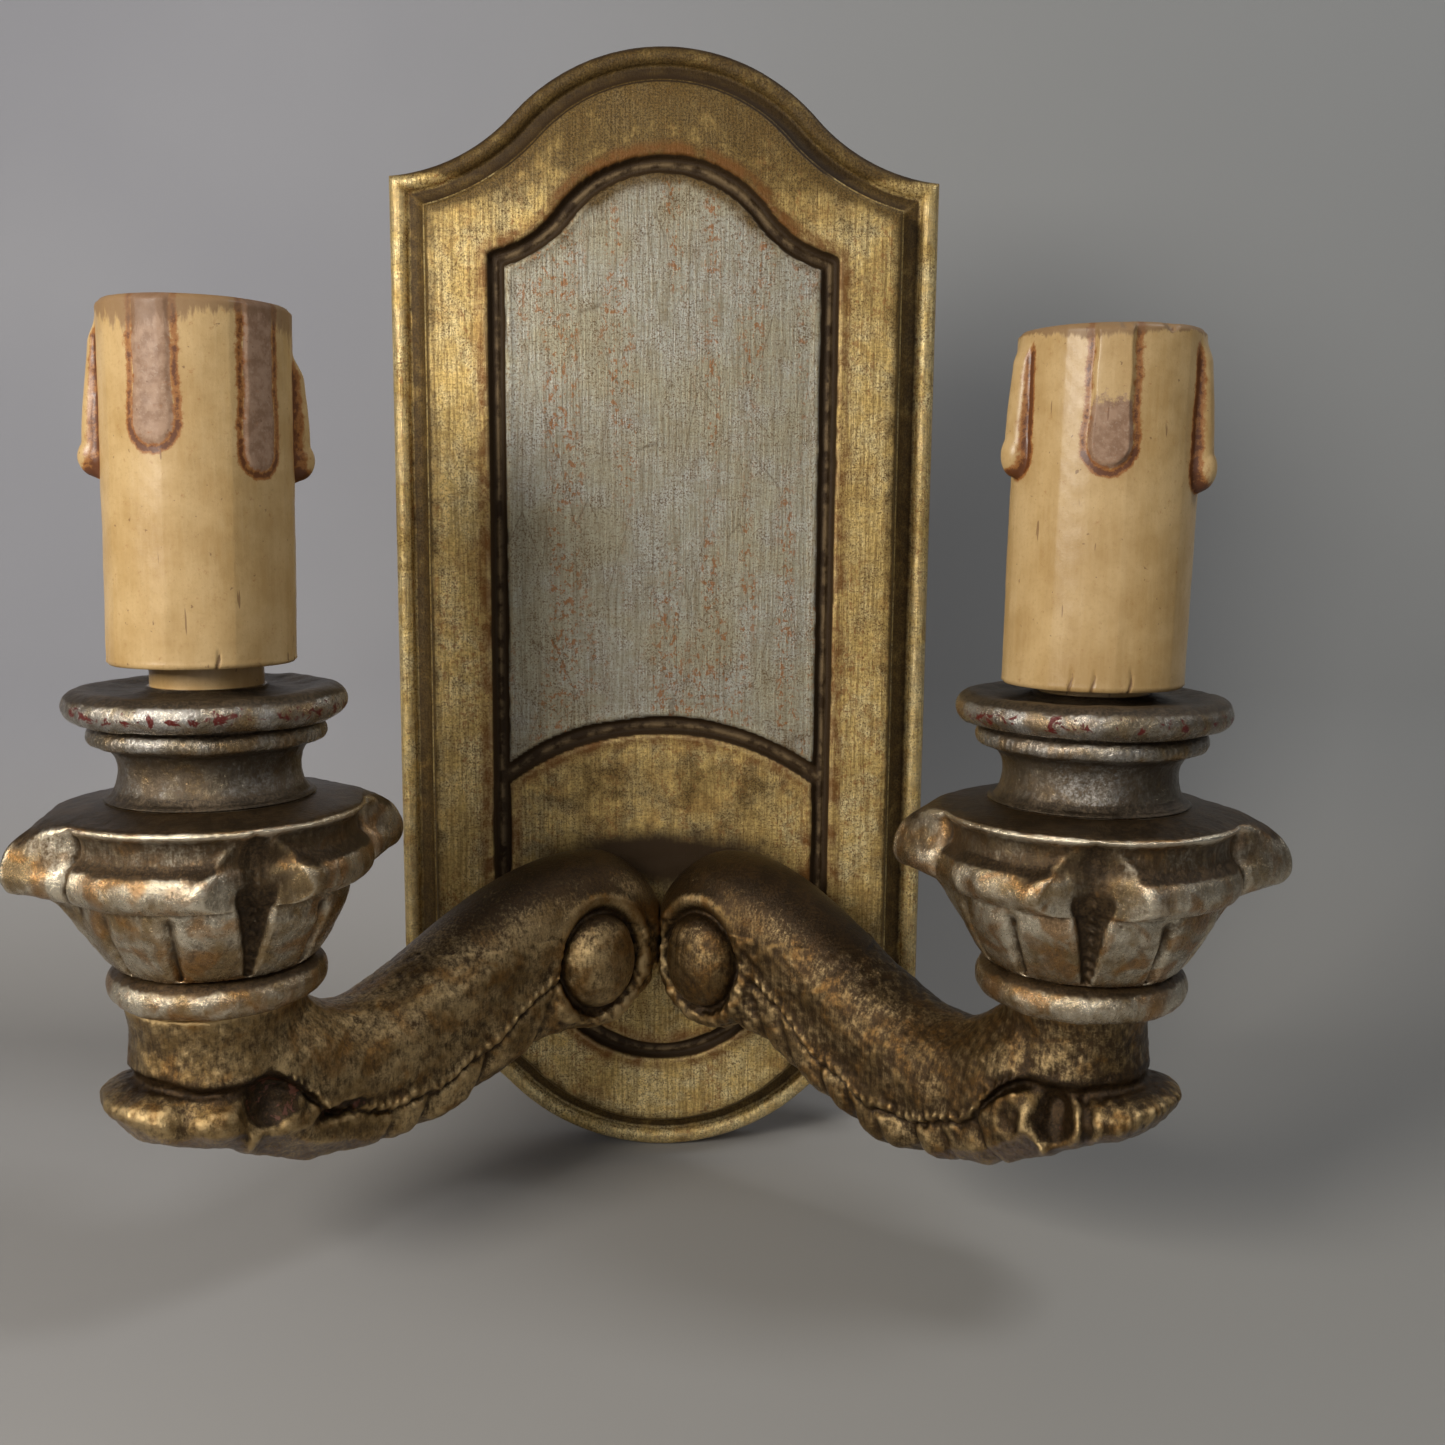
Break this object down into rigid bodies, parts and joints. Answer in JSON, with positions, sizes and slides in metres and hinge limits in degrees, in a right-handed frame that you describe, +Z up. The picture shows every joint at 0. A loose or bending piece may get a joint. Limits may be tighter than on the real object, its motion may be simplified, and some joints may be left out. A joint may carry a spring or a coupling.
{
  "type": "wall sconce",
  "caption": "Wall sconce with a gilded domed backplate, carved scroll arms, turned leaf cups and painted candle sleeves that lift off their lampholders.",
  "frame": {"origin": "centre of the round part of the keyhole in the hanger plate, on the plane of the wall", "axes": "+Z up; +Y into the wall, so the back lies on y = 0 and the front faces -Y; +X to the right as seen from the front"},
  "size_m": [0.2376, 0.1139, 0.2663],
  "materials": {
    "gilded_wood": "gold and silver leaf, rubbed and toned",
    "silvered_arm": "aged silver-gold leaf with dark patina",
    "silvered_cup": "aged silver-gold leaf with dark patina",
    "silvered_pan": "aged silver leaf with red bole showing",
    "candle_paint": "semi-matte ochre paint",
    "steel": "zinc plated",
    "brass": "plain",
    "bakelite": "moulded",
    "nylon": "moulded",
    "flex_sheath": "matte"
  },
  "bodies": {
    "sconce": {"backplate": "gilded_wood", "hanger_plate": "steel", "hanger_screws": "steel", "terminal_block": "nylon", "terminal_screws": "brass", "block_screw": "steel", "arm_screws": "steel", "arm_left": "silvered_arm", "arm_right": "silvered_arm", "cup_left": "silvered_cup", "cup_right": "silvered_cup", "pan_left": "silvered_pan", "pan_right": "silvered_pan", "stem_left": "brass", "stem_right": "brass", "washer_left": "steel", "washer_right": "steel", "nut_left": "brass", "nut_right": "brass", "collar_left": "candle_paint", "collar_right": "candle_paint", "holder_left": "bakelite", "holder_right": "bakelite", "lock_screw_left": "steel", "lock_screw_right": "steel", "shell_left": "brass", "shell_right": "brass", "flex_left": "flex_sheath", "flex_right": "flex_sheath"},
    "sleeve_left": {"sleeve_left": "candle_paint"},
    "sleeve_right": {"sleeve_right": "candle_paint"},
    "contact_left": {"contact_left": "brass"},
    "contact_right": {"contact_right": "brass"}
  },
  "joints": [
    {"name": "sleeve_left_lift", "type": "slide", "parent": "sconce", "child": "sleeve_left", "axis": [0, 0, 1], "range_m": [0, 0.07]},
    {"name": "sleeve_right_lift", "type": "slide", "parent": "sconce", "child": "sleeve_right", "axis": [0, 0, 1], "range_m": [0, 0.07]},
    {"name": "contact_left_press", "type": "slide", "parent": "sconce", "child": "contact_left", "axis": [0, 0, -1], "range_m": [0, 0.0008], "stiffness_N_per_m": 500},
    {"name": "contact_right_press", "type": "slide", "parent": "sconce", "child": "contact_right", "axis": [0, 0, -1], "range_m": [0, 0.0008], "stiffness_N_per_m": 500}
  ]
}
